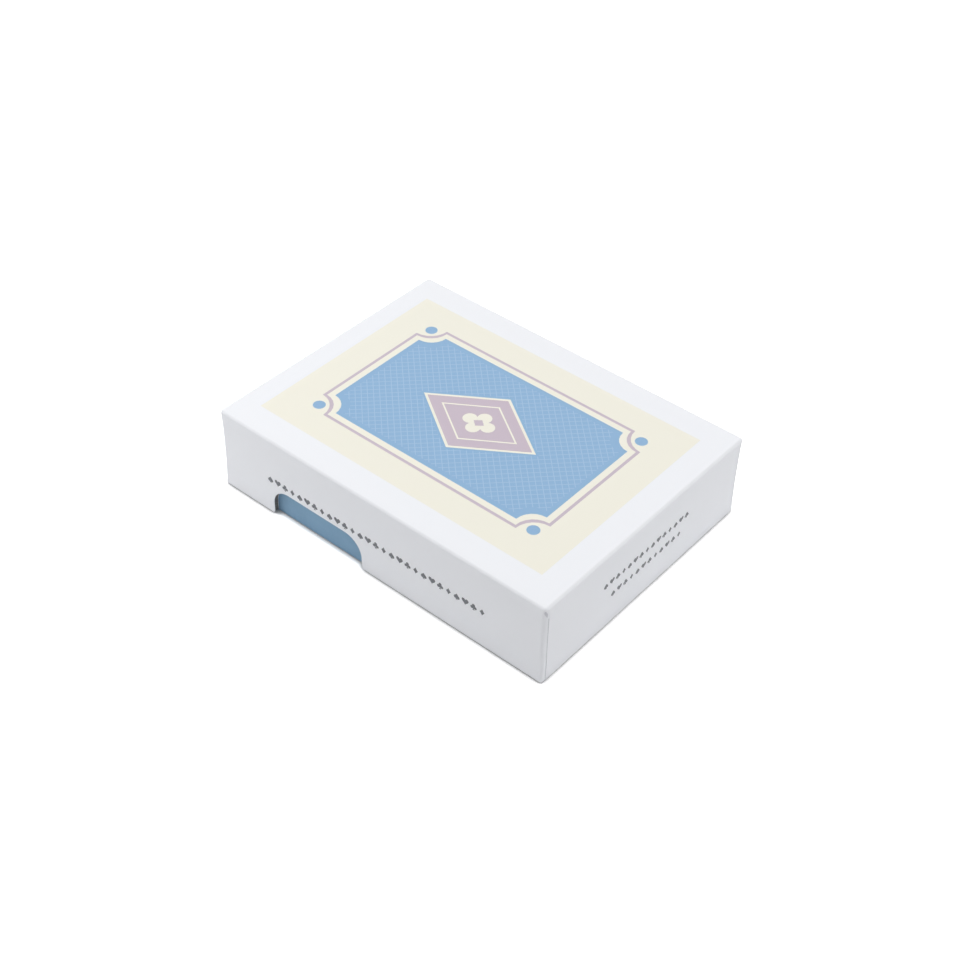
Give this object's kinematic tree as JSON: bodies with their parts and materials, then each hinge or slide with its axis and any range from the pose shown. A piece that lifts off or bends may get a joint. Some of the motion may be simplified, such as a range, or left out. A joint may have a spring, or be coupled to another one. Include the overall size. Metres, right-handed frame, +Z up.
{
  "type": "playing card deck",
  "caption": "Deck of playing cards in a rigid two-piece box: a full-depth lift-off lid with a thumb notch in each long side, over a papered tray that holds the cards.",
  "frame": {"origin": "middle of the underside, on the surface that the box lies on", "axes": "+X along the box, away from the notches; +Y across it, away from the long side in the picture; +Z up, the way the lid lifts off"},
  "size_m": [0.095, 0.0716, 0.0221],
  "materials": {
    "printed_wrap": "uncoated white paper, offset printed",
    "blue_wrap": "through-dyed blue paper",
    "base_sheet": "through-dyed blue paper",
    "grey_board": "grey board, die-cut edges bare",
    "stay_tape": "brown gummed paper tape",
    "card_stock": "coated card, printed both sides"
  },
  "bodies": {
    "tray": {"tray_board": "grey_board", "tray_wrap": "blue_wrap", "tray_base_sheet": "base_sheet", "tray_corner_stays": "stay_tape"},
    "spades_packet": {"cards_jokers": "card_stock", "card_spades_ace": "card_stock", "card_spades_2": "card_stock", "card_spades_3": "card_stock", "card_spades_4": "card_stock", "card_spades_5": "card_stock", "card_spades_6": "card_stock", "card_spades_7": "card_stock", "card_spades_8": "card_stock", "card_spades_9": "card_stock", "card_spades_10": "card_stock", "card_spades_jack": "card_stock", "card_spades_queen": "card_stock", "card_spades_king": "card_stock"},
    "diamonds_packet": {"card_diamonds_ace": "card_stock", "card_diamonds_2": "card_stock", "card_diamonds_3": "card_stock", "card_diamonds_4": "card_stock", "card_diamonds_5": "card_stock", "card_diamonds_6": "card_stock", "card_diamonds_7": "card_stock", "card_diamonds_8": "card_stock", "card_diamonds_9": "card_stock", "card_diamonds_10": "card_stock", "card_diamonds_jack": "card_stock", "card_diamonds_queen": "card_stock", "card_diamonds_king": "card_stock"},
    "clubs_packet": {"card_clubs_king": "card_stock", "card_clubs_queen": "card_stock", "card_clubs_jack": "card_stock", "card_clubs_10": "card_stock", "card_clubs_9": "card_stock", "card_clubs_8": "card_stock", "card_clubs_7": "card_stock", "card_clubs_6": "card_stock", "card_clubs_5": "card_stock", "card_clubs_4": "card_stock", "card_clubs_3": "card_stock", "card_clubs_2": "card_stock", "card_clubs_ace": "card_stock"},
    "hearts_packet": {"card_hearts_king": "card_stock", "card_hearts_queen": "card_stock", "card_hearts_jack": "card_stock", "card_hearts_10": "card_stock", "card_hearts_9": "card_stock", "card_hearts_8": "card_stock", "card_hearts_7": "card_stock", "card_hearts_6": "card_stock", "card_hearts_5": "card_stock", "card_hearts_4": "card_stock", "card_hearts_3": "card_stock", "card_hearts_2": "card_stock"},
    "top_card": {"card_hearts_ace": "card_stock"},
    "lid": {"lid_board": "grey_board", "lid_wrap": "printed_wrap", "lid_corner_stays": "stay_tape"}
  },
  "joints": [
    {"name": "lid_lift", "type": "slide", "parent": "top_card", "child": "lid", "axis": [0, 0, 1], "range_m": [0, 0.06]},
    {"name": "deck_lift", "type": "slide", "parent": "tray", "child": "spades_packet", "axis": [0, 0, 1], "range_m": [0, 0.0247]},
    {"name": "cut_above_spades", "type": "slide", "parent": "spades_packet", "child": "diamonds_packet", "axis": [0, 0, 1], "range_m": [0, 0.0199]},
    {"name": "cut_above_diamonds", "type": "slide", "parent": "diamonds_packet", "child": "clubs_packet", "axis": [0, 0, 1], "range_m": [0, 0.0158]},
    {"name": "cut_above_clubs", "type": "slide", "parent": "clubs_packet", "child": "hearts_packet", "axis": [0, 0, 1], "range_m": [0, 0.0116]},
    {"name": "top_card_lift", "type": "slide", "parent": "hearts_packet", "child": "top_card", "axis": [0, 0, 1], "range_m": [0, 0.0078]}
  ]
}
